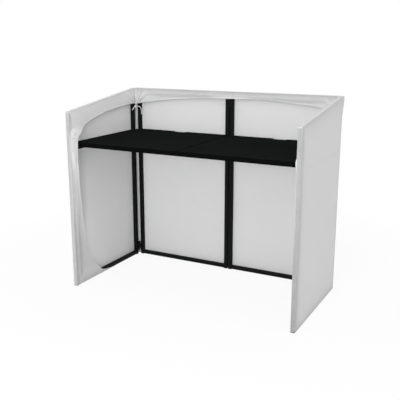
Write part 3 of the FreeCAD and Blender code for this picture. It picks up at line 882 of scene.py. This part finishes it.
def side_cover(side, cover, materials):
    """A side panel's cover: outer sheet, strips over the rail and round the near post, and inner wrap."""
    half = cover.cloth / 2
    turn = cover.turn
    outer = cover_side_high.x - half
    inner = cover_side_low.x + half
    width = outer - inner
    near = NEAR + half
    start = near + turn
    end = cover_side_high.y + SEW
    ys = spread(start, end, SIDE_STEP)
    levels = spread(0.0, 1.0, SIDE_STEP)
    section = turned(width, turn)
    cloth = Cloth()

    def at(x, y, z):
        return Vector((side * x, y, z))

    def brim(y):
        return side_edge_height(y, cover) - turn

    def height(y, share):
        return FLOOR + share * (brim(y) - FLOOR)

    # Painted shade of a near end: darker on the right than on the left, and darker towards the floor
    def near_shade(z):
        rising = mixed(*NEAR_SHADE[side], smooth(*NEAR_RISE, z))
        low, high = [cover.near_height - drop for drop in NEAR_HEAD]
        return mixed(rising, HEAD_SHADE, smooth(low, high, z))

    # Grey of a side's outer sheet from the tubes behind it, with painted shade near the near end and under
    # the top rail
    def outer_shade(y, z, behind_and_shade=1.0):
        return max(OUTER_SHADE * behind_and_shade, near_shade(z) * math.exp(-(y - near - turn) / NEAR_FADE[side]),
                   UNDER_HEAD_SHADE * math.exp(-(brim(y) - z) / UNDER_HEAD_FADE))

    def wrap_shade(z):
        return near_shade(z) * (1.0 - FREE_LOSS * band(FREE_START, FREE_END, z))

    def near_spot_shade(across, z):
        over = over_tube(across, outer_shade(start, z), near_shade(z))
        return mixed(over, wrap_shade(z), smooth(width - NEAR_BORDER, width, across))

    def head_spot_shade(across, y):
        return over_tube(across, outer_shade(y, brim(y)), HEAD_SHADE)

    # Painted shade on a near end: darker towards the floor, from the outer sheet's painted floor shade,
    # fading out at the wrap
    def near_floor_shade(across, z):
        inside = END_FLOOR_SHADE[side] * math.exp(-(z - FLOOR) / END_FLOOR_SHADE_FADE)
        ends = 1.0 - smooth(width - SOFT_EDGE, width, across)
        return over_tube(across, floor_shade(z - FLOOR), inside) * ends

    def outer_spot(y, share):
        z = height(y, share)
        posts = max(1.0 - past(TUBE, y - NEAR), past(side_tube_high.y - TUBE, y))
        behind_and_shade = max(posts, rails_behind(z, side_edge_height(y, cover)))
        edge = smooth(0.0, BELLY_EASE, y - near) * smooth(0.0, BELLY_EASE, end - y)
        swell = BELLY * calm(side * outer, y, z) * edge * (1 - behind_and_shade)
        return Spot(at(outer + swell, y, z), y, z, z - FLOOR, outer_shade(y, z, behind_and_shade), 0.0,
                    floor_shade(z - FLOOR))

    def near_spot(across, drop, z):
        return Spot(at(outer - across, near + drop, z), near - across, z, z - FLOOR,
                    near_spot_shade(across, z), 0.0, near_floor_shade(across, z))

    def head_spot(across, drop, y):
        z = side_edge_height(y, cover)
        return Spot(at(outer - across, y, z - drop), y, z + across, OFF_HEM, head_spot_shade(across, y))

    def bend_spot(across, drop, degrees):
        """A spot on the rounded corner between the strip up the near post and the one over the top."""
        angle = math.radians(degrees)
        reach = turn - drop
        middle = brim(start)
        grey = mixed(near_spot_shade(across, middle), head_spot_shade(across, start), 2.0 - degrees / 90.0)
        return Spot(at(outer - across, start + math.cos(angle) * reach, middle + math.sin(angle) * reach),
                    near - across, middle, OFF_HEM, grey)

    def hem_at(place):
        hem_y, hem_z, drawn = through(SIDE_HEM[side], place)
        return min(NEAR + hem_y, end), hem_z, drawn

    def hem_point(hem):
        return at(inner - hem[2], hem[0], hem[1])

    cloth.grid([[outer_spot(y, share) for y in ys] for share in levels])
    near_levels = [height(start, share) for share in levels]
    for make, places in ((near_spot, near_levels), (head_spot, ys),
                         (bend_spot, (180.0, 157.5, 135.0, 112.5, 90.0))):
        cloth.grid([[make(across, drop, place) for across, drop in section] for place in places])

    edges = [(z, start, z) for z in near_levels[:-1]]
    edges += [(cover.near_height + y - near, y, brim(y)) for y in ys]
    hems = [hem_at(place) for place, y, z in edges]
    hems[-1] = (end, hems[-1][1], 0.0)
    fold = side_fold(cover)
    columns = []
    along = 0.0
    for index, ((place, y, z), hem) in enumerate(zip(edges, hems)):
        edge = at(inner, y, z)
        low = hem_point(hem)
        flat = at(inner, hem[0], hem[1])
        before, after = neighbours(hems, index)
        run = hem_point(after) - hem_point(before)
        along += run.length / 2
        facing = run.cross(low - edge).normalized()
        if facing.x * side > 0:
            facing = -facing
        beside = 1.0 - smooth(NEAR + HEAD_REACH[0], NEAR + HEAD_REACH[1], y)
        pocket = POCKET_SHADE * (1.0 - smooth(*POCKET_END, z))
        tone = Tone(edge=wrap_shade(z) if index < len(levels) - 1 else HEAD_SHADE,
                    body=pocket + POCKET_FLOOR_SHADE * (1.0 - smooth(*POCKET_FLOOR, z)),
                    lifted=FLAP_SHADE * band(FLAP_START, FLAP_END, z),
                    layers=1.0 - HEAD_LOSS * smooth(*HEAD_START, z) * beside)
        fold_line = FLAP_SHARE * smooth(*FLAP_LINE, place)
        columns.append(wrap_rows(edge, flat, facing, along, fold, cover, tone, low - flat, fold_line))
    cloth.grid(columns)

    piece, area = cloth.sewn("side_cover_" + NAMES[side], cover.cloth,
                             lambda place: Vector((side * (abs(place.x) - SIDE_MIDDLE), 0, 0)), materials)
    stand_for(piece, "cover_side_" + NAMES[side])
    area * 0.95


def upright_cover(name, columns, cover, outward, materials):
    """A cover of upright columns: outer sheet, strip over the top rail, and inner wrap down to the hem."""
    turn = cover.turn
    cloth = Cloth()

    def sheet_spot(column, share):
        z = FLOOR + share * (column.top - turn - FLOOR)
        behind_and_shade = max(column.backing, rails_behind(z, column.top))
        swell = BELLY * calm(column.outer.x, column.outer.y, z) * (1 - behind_and_shade)
        point = Vector((*column.outer, z)) + column.outward * swell
        point += column.peak * smooth(column.top - PEAK_START, column.top - PEAK_END, z)
        # Painted shadow round the hem, and painted shade lower on the front
        shadow = HEM_SHADE * math.exp(-abs(column.hem - z) / HEM_SHADE_FADE)
        shadow += LOW_SHADE * (1.0 - smooth(*LOW_END, z))
        return Spot(point, column.along, z, z - FLOOR, OUTER_SHADE * behind_and_shade + shadow, 0.0,
                    floor_shade(z - FLOOR))

    def over_spots(column):
        brim = column.outer + column.peak.xy
        across = column.inner - brim
        width = across.length
        return [Spot(Vector((*(brim + across * (reach / width)), column.top - drop)), column.along,
                     column.top + reach, OFF_HEM, over_tube(reach, OUTER_SHADE, column.tone.edge))
                for reach, drop in turned(width, turn)]

    def wrap_spots(column):
        edge = Vector((*column.inner, column.top - turn))
        hem = Vector((*column.inner, column.hem))
        return wrap_rows(edge, hem, column.inward, column.along, column.fold, cover, column.tone)

    shares = spread(0.0, 1.0, UPRIGHT_STEP)
    cloth.grid([[sheet_spot(column, share) for share in shares] for column in columns])
    cloth.grid([over_spots(column) for column in columns])
    cloth.grid([wrap_spots(column) for column in columns])
    return cloth.sewn(name, cover.cloth, outward, materials)


def front_fold(across, cover):
    """Height of the front's inner wrap off its plane and painted shade in its creases, at a column's spot.
    """
    place = front_tube_high.x - abs(across) + CORNER_START

    def height(spot, distance):
        soft = BELLY * calm(spot.x * 2, spot.y, spot.z * 3) * smooth(0.0, BELLY_EASE, distance)
        folds, crease = tie_folds(place, spot.z, cover.gather)
        posts = smooth(*FRONT_SINK_EDGE, place)
        posts *= smooth(*FRONT_SINK_EDGE, abs(across) - front_tube_low.x)
        sink = FRONT_SINK * posts * smooth(TUBE, TUBE + BELLY_EASE, TOP - spot.z)
        return folds + front_creases(across, spot.z) + soft - sink, crease

    return height


def front_column(x, bulge, posts, cover):
    """A column of the front wall's cover."""
    half = cover.cloth / 2
    return Column(
        outer=Vector((x, cover_front_high.y - half + bulge)), inner=Vector((x, cover_front_low.y + half)),
        top=TOP - half, hem=through(FRONT_HEM, x)[0], outward=Vector((0, 1, 0)), inward=Vector((0, -1, 0)),
        along=x, fold=front_fold(x, cover), backing=posts, peak=Vector((0, 0, 0)),
        tone=Tone(FRONT_HEAD_SHADE, 0.0, 0.0, FRONT_LAYERS_AND_LIGHT))


def off_front(place):
    return Vector((0, place.y - FRONT_MIDDLE, 0))


def front_cover(side, cover, materials):
    """One half of the front wall's cover, with closer columns beside the corner."""
    start = cover_front_low.x - SEW
    end = cover_front_high.x + SEW
    close = end - CLOSE_REACH
    columns = []
    for x in spread(start, close, FRONT_STEP) + spread(close, end, CLOSE_STEP)[1:]:
        posts = max(tube_behind(x, front_tube_low.x, front_tube_low.x + TUBE),
                    tube_behind(x, front_tube_high.x - TUBE, front_tube_high.x))
        columns.append(front_column(side * x, 0.0, posts, cover))
    piece = upright_cover("front_cover_" + NAMES[side], columns, cover, off_front, materials)[0]
    stand_for(piece, "cover_front_" + NAMES[side])


def middle_cover(cover, materials):
    """The cover over the middle hinge, with a soft ridge over its knuckles."""
    reach = cover_front_low.x - SEW
    columns = []
    for x in spread(-reach, reach, MIDDLE_STEP):
        ridge = cover.ridge * math.exp(-(x / RIDGE_HALF) ** 2)
        posts = 1.0 - smooth(*KNUCKLE_EDGE, KNUCKLE_HALF - abs(x))
        columns.append(front_column(x, ridge, posts, cover))
    piece = upright_cover("middle_cover", columns, cover, off_front, materials)[0]
    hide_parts("cover_middle")
    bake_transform(piece)


def bent_path(points, radius):
    """Places along a path of three runs, with its two corners rounded."""
    first, second, third, fourth = [Vector(point) for point in points]
    one = (second - first).normalized()
    two = (third - second).normalized()
    three = (fourth - third).normalized()
    stops = [first, second - one * radius, second + two * radius, third - two * radius,
             third + three * radius, fourth]
    corners = {1: second, 3: third}
    places = []
    for index, count in enumerate(CORNER_COUNTS):
        start, end = stops[index:index + 2]
        for step in range(count):
            share = step / count
            if index in corners:
                corner = corners[index]
                places.append(start.lerp(corner, share).lerp(corner.lerp(end, share), share))
            else:
                places.append(start.lerp(end, share))
    return places + [fourth]


def corner_cover(side, cover, materials):
    """The cover across a corner hinge: cut across outside, tied and gathered inside."""
    half = cover.cloth / 2
    outer_x = cover_side_high.x - half
    outer_y = cover_front_high.y - half
    inner_x = cover_side_low.x + half
    inner_y = cover_front_low.y + half
    low_y = cover_side_high.y + SEW
    low_x = cover_front_high.x + SEW
    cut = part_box("cover_corner_right")[1].x - half - CORNER_CUT
    outside = bent_path([(outer_x, low_y), (outer_x, outer_y - (outer_x - cut)), (cut, outer_y),
                         (low_x, outer_y)], CORNER_ROUND)
    peaked = bent_path([(outer_x, low_y), (outer_x, outer_y - CORNER_PEAK_CUT),
                        (outer_x - CORNER_PEAK_CUT, outer_y), (low_x, outer_y)], CORNER_PEAK)
    inside = bent_path([(inner_x, low_y), (inner_x, side_tube_high.y - CORNER_INSET),
                        (front_tube_high.x - CORNER_INSET, inner_y), (low_x, inner_y)], CORNER_TUCK)
    side_hem = SIDE_HEM[side][-1][2]
    front_hem = through(FRONT_HEM, side * low_x)[0]
    length = line_length(inside)
    columns = []
    along = 0.0
    walked = 0.0
    for index, (out, into, peak) in enumerate(zip(outside, inside, peaked)):
        before, after = neighbours(outside, index)
        along += (out - before).length
        run = after - before
        outward = Vector((side * run.y, -run.x, 0)).normalized()
        before, after = neighbours(inside, index)
        walked += (into - before).length
        run = after - before
        inward = Vector((-side * run.y, run.x, 0)).normalized()
        share = walked / length
        across = (1 - 2 * share) * corner_across(low_y)
        dip = CORNER_DIP * (1 - smooth(0.0, 1.0, abs(share - 0.5) * 2))

        def fold(spot, distance, across=across):
            return tie_folds(across, spot.z, cover.gather)

        columns.append(Column(
            outer=Vector((side * out.x, out.y)), inner=Vector((side * into.x, into.y)),
            top=mixed(side_edge_height(low_y, cover), TOP - half, smooth(0.0, 1.0, share)),
            hem=mixed(side_hem, front_hem, share) - dip, outward=outward, inward=inward, along=side * along,
            fold=fold, backing=CORNER_BACKING, peak=Vector((side * (peak.x - out.x), peak.y - out.y, 0)),
            tone=Tone(mixed(HEAD_SHADE, FRONT_HEAD_SHADE, share), 0.0, 0.0,
                      mixed(1.0, FRONT_LAYERS_AND_LIGHT, share))))

    def away(place):
        lean = Vector((place.x - side * CORNER_CENTRE[0], place.y - CORNER_CENTRE[1], 0))
        return lean if lean.x * side + lean.y > 0 else lean * 0.2

    piece, area = upright_cover("corner_cover_" + NAMES[side], columns, cover, away, materials)
    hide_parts("cover_corner_" + NAMES[side])
    side * inner_x
    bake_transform(piece)
    area * 0.95


# Ties

# Places in front of an inner corner: distance from the side frame, distance from the front frame and height
# over the hem's corner, in millimetres
TIE_THROUGH = ((8.2, 7.8, 5.0), (9.5, 11.5, -7.0), (11.7, 22.9, -14.0), (10.4, 26.4, -19.6),
               (7.2, 36.0, -25.5), (5.8, 42.5, -31.5), (5.2, 47.5, -38.5))
TIE_LONG = ((15.0, 20.5, -17.2), (27.0, 11.0, -16.0), (37.0, 7.0, -23.0), (43.5, 5.6, -36.0),
            (45.5, 5.4, -51.5), (44.5, 5.6, -66.0))
TIE_KNOT = (12.0, 23.6, -18.3)
HEM_CORNER = 1.004
KNOT_SIZE = 0.0020
KNOT_STEPS = 72
CORD_SIDES = 14

# A cord's domed end: reach past the line's end and width, as shares of the cord's radius
CORD_DOME = ((0.0, 1.0), (0.38, 0.91), (0.72, 0.62), (0.9, 0.2))


def tie_place(offset, side):
    return Vector((side * (side_tube_low.x - offset[0] / 1000), front_tube_low.y - offset[1] / 1000,
                   HEM_CORNER + offset[2] / 1000))


def route_line(name, points):
    """Points along the smooth line of a route."""
    curve = bpy.data.curves.new(name, "CURVE")
    curve.dimensions = "3D"
    curve.resolution_u = 10
    spline = curve.splines.new("NURBS")
    spline.points.add(len(points) - 1)
    for control, point in zip(spline.points, points):
        control.co = (*point, 1.0)
    spline.order_u = 3
    spline.use_endpoint_u = True
    guide = bpy.data.objects.new(name, curve)
    bpy.context.scene.collection.objects.link(guide)
    bpy.context.view_layer.update()
    mesh = bpy.data.meshes.new_from_object(guide.evaluated_get(bpy.context.evaluated_depsgraph_get()))
    line = [vertex.co.copy() for vertex in mesh.vertices]
    bpy.data.objects.remove(guide)
    bpy.data.curves.remove(curve)
    bpy.data.meshes.remove(mesh)
    return line


def cord_rings(line, radius):
    """Distances along a line and the rings of points round it there, smaller over its two ends."""
    side = (line[1] - line[0]).normalized().orthogonal().normalized()
    walks = []
    rings = []
    walked = 0.0
    for index, point in enumerate(line):
        before, after = neighbours(line, index)
        ahead = (after - before).normalized()
        side = (side - ahead * side.dot(ahead)).normalized()
        walked += (point - before).length
        turns = [math.tau * turn / CORD_SIDES for turn in range(CORD_SIDES)]
        spokes = [side * math.cos(turn) + ahead.cross(side) * math.sin(turn) for turn in turns]
        domes = CORD_DOME[:1]
        if index == 0:
            domes = [(-reach, share) for reach, share in reversed(CORD_DOME)]
        if index == len(line) - 1:
            domes = CORD_DOME
        for reach, share in domes:
            centre = point + ahead * (radius * reach)
            walks.append(walked + radius * reach)
            rings.append([centre + spoke * (radius * share) for spoke in spokes])
    return walks, rings


def cord_tube(name, line, radius):
    """A round tube along a line, with domed ends and its braid's map."""
    walks, rings = cord_rings(line, radius)
    work = bmesh.new()
    weave = work.loops.layers.uv.new("weave")
    made = [[work.verts.new(spot) for spot in ring] for ring in rings]
    for row in range(len(made) - 1):
        for turn in range(CORD_SIDES):
            corners = ((row, turn), (row, turn + 1), (row + 1, turn + 1), (row + 1, turn))
            face = work.faces.new([made[ring][step % CORD_SIDES] for ring, step in corners])
            face.smooth = True
            for loop, (ring, step) in zip(face.loops, corners):
                loop[weave].uv = (walks[ring], step / CORD_SIDES)
    work.faces.new(made[0][::-1])
    work.faces.new(made[-1])
    bmesh.ops.recalc_face_normals(work, faces=work.faces[:])
    return piece_of(name, work)


def line_length(line):
    return sum((end - start).length for start, end in zip(line, line[1:]))


def knot_line(centre):
    """An overhand knot's line, pulled tight."""
    points = []
    for step in range(KNOT_STEPS + 1):
        turn = math.tau * step / KNOT_STEPS
        points.append(centre + Vector((
            (math.sin(turn) + 2 * math.sin(2 * turn)) * KNOT_SIZE,
            math.sin(3 * turn) * KNOT_SIZE * 0.9,
            (math.cos(turn) - 2 * math.cos(2 * turn)) * KNOT_SIZE)))
    return points


def tie(side, cover, material):
    """One corner's tie: a cord through the hem and the knot to a short tail, the knot, and the long tail."""
    radius = cover.cord / 2
    end = NAMES[side]
    knot = cord_tube(f"tie_knot_{end}_cord", knot_line(tie_place(TIE_KNOT, side)), radius)
    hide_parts("tie_knot_" + end)
    through_line = route_line("tie_through_route", [tie_place(spot, side) for spot in TIE_THROUGH])
    short = cord_tube(f"tie_through_{end}_cord", through_line, radius)
    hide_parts("tie_strand_" + end, "tie_short_tail_" + end)
    long_line = route_line("tie_long_route", [tie_place(spot, side) for spot in TIE_LONG])
    long = cord_tube(f"tie_long_{end}_cord", long_line, radius)
    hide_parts("tie_long_tail_" + end)
    for piece in (knot, short, long):
        paint_all(piece, material)
        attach(piece, "front_" + end)
    for piece, line, others in ((short, through_line, [knot]), (long, long_line, [])):
        line_length(line)


# Edges of the rigid pieces that are rounded

ON_FACE = 2e-5
TUBE_EDGE_LENGTH = 0.012
LEDGE_EDGE_LENGTH = 0.010
SMALL_EDGE_LENGTH = 0.003
LEVEL = 1e-5

# How near to a table half's outer end, front, back and seam its rim reaches
RIM_END = 0.06
RIM_FRONT = 0.01
RIM_BACK = 0.03
RIM_SEAM = 0.002

# A face of the board whose normal rises less than this belongs to the edge band
EDGE_TILT = 0.7


def tube_edge(across, low, high):
    """Picks the long corner edges of square tubes that lie between two planes."""

    def chosen(first, second):
        on_faces = all(min(abs(abs(spot[across]) - low), abs(abs(spot[across]) - high)) < ON_FACE
                       for spot in (first, second))
        return on_faces and (first - second).length > TUBE_EDGE_LENGTH

    return chosen


def long_edge(shortest):
    def chosen(first, second):
        return (first - second).length > shortest

    return chosen


def on_rim(spot):
    """Whether a place on a table half lies at its outer end, its front, its back or its seam."""
    return (abs(abs(spot.x) - board_high.x) < RIM_END or spot.y < board_low.y + RIM_FRONT
            or spot.y > board_high.y - RIM_BACK or abs(spot.x) < RIM_SEAM)


def board_edge(first, second):
    """Picks the edges round a table half's top and bottom faces."""
    level = first.z
    flat = abs(level - second.z) < LEVEL
    on_face = min(abs(level - board_low.z), abs(level - board_high.z)) < ON_FACE
    return flat and on_face and on_rim(first) and on_rim(second)


class BOOTH_OT_frames(bpy.types.Operator):
    """Make the painted tube frames and their foot plugs"""

    bl_idname = "booth.frames"
    bl_label = "Frames"

    def execute(self, context):
        look = context.scene.booth_frame
        paint = powder_coat("frame_paint", look.paint, 0.45)
        rubbed = powder_coat("frame_paint_rubbed", look.rubbed, 0.5)
        plastic = moulded("foot_plastic", look.plastic)
        planes = {"side": (0, side_tube_low.x, side_tube_high.x),
                  "front": (1, front_tube_low.y, front_tube_high.y)}
        for end in NAMES.values():
            for wall in WALLS:
                eased_copy(f"frame_{wall}_{end}", f"{wall}_frame_{end}", look.tube_edge,
                           tube_edge(*planes[wall]), (paint, rubbed))
            for wall in WALLS:
                eased_copy(f"feet_{wall}_{end}", f"{wall}_feet_{end}", look.sheet_edge,
                           long_edge(SMALL_EDGE_LENGTH), (plastic,))
        return {"FINISHED"}


class BOOTH_OT_fittings(bpy.types.Operator):
    """Make the ledges, the hinges, and their screws and pins"""

    bl_idname = "booth.fittings"
    bl_label = "Ledges and hinges"

    def execute(self, context):
        look = context.scene.booth_frame
        ledge_paint = powder_coat("ledge_paint", look.paint, 0.38)
        hinge_paint = powder_coat("hinge_paint", scaled(look.paint, 1.3), 0.34)
        rubbed = powder_coat("hinge_paint_rubbed", look.rubbed, 0.4)
        screw = blackened("screw_steel", look.steel)
        pin = blackened("pin_steel", scaled(look.steel, 1.8))
        leaves = ["middle_hinge_leaf_left", "middle_hinge_leaf_right", "table_hinge_leaf_left",
                  "table_hinge_leaf_right"]
        flat_paint = powder_coat("flap_hinge_paint", look.board, 0.9, 0.0)
        small = {"middle_hinge_pins": pin, "table_hinge_pins": flat_paint}
        for end in NAMES.values():
            leaves += ["corner_hinge_side_leaf_" + end, "corner_hinge_front_leaf_" + end]
            small["corner_hinge_pins_" + end] = pin
            small["table_hinge_screws_" + end] = flat_paint
            for wall in WALLS:
                small[f"ledge_screws_{wall}_{end}"] = screw
                eased_copy(f"ledge_{wall}_{end}", f"{wall}_ledge_{end}", look.sheet_edge,
                           long_edge(LEDGE_EDGE_LENGTH), (ledge_paint, rubbed))
        for node in leaves:
            paint = (flat_paint,) if node.startswith("table") else (hinge_paint, rubbed)
            eased_copy(node, node.replace("leaf", "plate"), look.sheet_edge, long_edge(SMALL_EDGE_LENGTH),
                       paint)
        for node, finish in small.items():
            paint_all(frame["nodes"][node], finish)
        return {"FINISHED"}


class BOOTH_OT_table(bpy.types.Operator):
    """Make the two halves of the table top"""

    bl_idname = "booth.table"
    bl_label = "Table top"

    def execute(self, context):
        look = context.scene.booth_frame
        face = laminate("table_board", look.board, 0.62, 420.0, look.seam)
        edge_band = laminate("table_edge_band", look.band, 0.5, 900.0)
        for end in NAMES.values():
            half = eased_copy("table_half_" + end, "table_top_" + end, look.board_edge, board_edge,
                              (face, edge_band))
            for side in half.data.polygons:
                if abs(side.normal.z) < EDGE_TILT:
                    side.material_index = 1
        return {"FINISHED"}


class BOOTH_OT_cover(bpy.types.Operator):
    """Make the white stretch cover over the walls and round the corners"""

    bl_idname = "booth.cover"
    bl_label = "Cover"

    def execute(self, context):
        cover = context.scene.booth_cover
        # The inside copy of the cloth is painted paler, as light that shines through it
        cloth = (stretch_cloth("cover_fabric", cover.white, cover.doubled),
                 stretch_cloth("cover_fabric_lit_inside", cover.inside, cover.inside))
        for side in NAMES:
            side_cover(side, cover, cloth)
            front_cover(side, cover, cloth)
            corner_cover(side, cover, cloth)
        middle_cover(cover, cloth)
        return {"FINISHED"}


class BOOTH_OT_ties(bpy.types.Operator):
    """Make the knotted cords at the inner corners"""

    bl_idname = "booth.ties"
    bl_label = "Ties"

    def execute(self, context):
        cover = context.scene.booth_cover
        cord = braided_cord("tie_cord", cover.cord_white)
        for side in NAMES:
            tie(side, cover, cord)
        return {"FINISHED"}


# The studio: size of the floor, distances over which it turns plain white, and the camera
FLOOR_SIZE = 60.0
WHITE_FROM = 0.9
WHITE_TO = 2.4
CAMERA_PLACE = (1.58325, -3.07291, 1.39392)
CAMERA_TURN = (math.radians(75.7644), 0.0, math.radians(27.6591))
SENSOR = 36.0


class BOOTH_OT_stage(bpy.types.Operator):
    """Set up the floor, the lamps, the white surround and the camera"""

    bl_idname = "booth.stage"
    bl_label = "Stage"

    def execute(self, context):
        look = context.scene.booth_stage
        self.floor(look)
        self.surround(context.scene, look)
        self.lamps(context.scene, look)
        self.camera(context.scene, look)
        return {"FINISHED"}

    def floor(self, look):
        bpy.ops.object.select_all(action="DESELECT")
        bpy.ops.mesh.primitive_plane_add(size=FLOOR_SIZE, location=(0, 0, 0))
        ground = bpy.context.active_object
        ground.name = "studio_floor"
        finish = new_finish("studio_floor")
        place = finish.place()
        cloud = finish.noise(place, 0.6, 2.0)
        pale = finish.tap("ShaderNodeBsdfDiffuse", 0, {}, {
            "Color": finish.mix(cloud, look.floor, scaled(look.floor, 0.98)), "Roughness": 0.6})
        glow = finish.tap("ShaderNodeEmission", 0, {}, {"Color": WHITE, "Strength": 1.0})
        away = finish.tap("ShaderNodeVectorMath", "Value", {"operation": "LENGTH"}, {0: place})
        far = finish.tap("ShaderNodeMapRange", 0, {"interpolation_type": "SMOOTHSTEP"}, {
            "Value": away, "From Min": WHITE_FROM, "From Max": WHITE_TO, "To Min": look.white_floor,
            "To Max": 1.0})
        blended = finish.tap("ShaderNodeMixShader", 0, {}, {0: finish.seen() * far, 1: pale, 2: glow})
        finish.node("ShaderNodeOutputMaterial", {}, {"Surface": blended})
        paint_all(ground, finish.owner)

    def surround(self, scene, look):
        finish = Finish(bpy.data.worlds.new("white_surround"))
        scene.world = finish.owner
        light, white = [finish.tap("ShaderNodeBackground", 0, {}, {"Color": WHITE, "Strength": strength})
                        for strength in (look.sky, 1.0)]
        choice = finish.tap("ShaderNodeMixShader", 0, {}, {0: finish.seen(), 1: light, 2: white})
        finish.node("ShaderNodeOutputWorld", {}, {"Surface": choice})

    def lamps(self, scene, look):
        for name, place, aim, size, power in (
                ("front_lamp", (0.62, -4.2, 1.3), (0.0, 0.0, 0.6), 1.6, look.front),
                ("right_lamp", (6.0, -0.6, 2.0), (0.4, 0.0, 0.7), 2.4, look.right)):
            lamp = bpy.data.lights.new(name, "AREA")
            lamp.shape = "DISK"
            lamp.size = size
            lamp.energy = power
            holder = bpy.data.objects.new(name, lamp)
            scene.collection.objects.link(holder)
            holder.location = place
            holder.rotation_euler = (Vector(aim) - Vector(place)).to_track_quat("-Z", "Y").to_euler()

    def camera(self, scene, look):
        lens = bpy.data.cameras.new("photo_camera")
        lens.lens = look.lens
        lens.sensor_width = SENSOR
        lens.dof.use_dof = False
        holder = bpy.data.objects.new("photo_camera", lens)
        scene.collection.objects.link(holder)
        holder.location = CAMERA_PLACE
        holder.rotation_euler = CAMERA_TURN
        scene.camera = holder
        scene.view_settings.view_transform = "Standard"


class BOOTH_PT_panel(bpy.types.Panel):
    bl_idname = "BOOTH_PT_panel"
    bl_label = "Folding DJ booth"
    bl_space_type = "VIEW_3D"
    bl_region_type = "UI"
    bl_category = "Booth"

    def draw(self, context):
        for name in SETTINGS:
            settings = getattr(context.scene, name)
            box = self.layout.box()
            for key in settings.bl_rna.properties.keys():
                if key not in ("rna_type", "name"):
                    box.prop(settings, key)
        for operator in OPERATORS:
            self.layout.operator(operator.bl_idname)


SETTINGS = {"booth_frame": BoothFrame, "booth_cover": BoothCover, "booth_stage": BoothStage}
OPERATORS = (BOOTH_OT_frames, BOOTH_OT_fittings, BOOTH_OT_table, BOOTH_OT_ties, BOOTH_OT_cover,
             BOOTH_OT_stage)
CLASSES = (*SETTINGS.values(), *OPERATORS, BOOTH_PT_panel)


def register():
    for kind in CLASSES:
        bpy.utils.register_class(kind)
    for name, kind in SETTINGS.items():
        setattr(bpy.types.Scene, name, bpy.props.PointerProperty(type=kind))


def unregister():
    for name in SETTINGS:
        delattr(bpy.types.Scene, name)
    for kind in reversed(CLASSES):
        bpy.utils.unregister_class(kind)


def main():
    register()
    bpy.ops.booth.frames()
    bpy.ops.booth.fittings()
    bpy.ops.booth.table()
    bpy.ops.booth.ties()
    bpy.ops.booth.cover()
    bpy.ops.booth.stage()


if __name__ == "__main__":
    main()
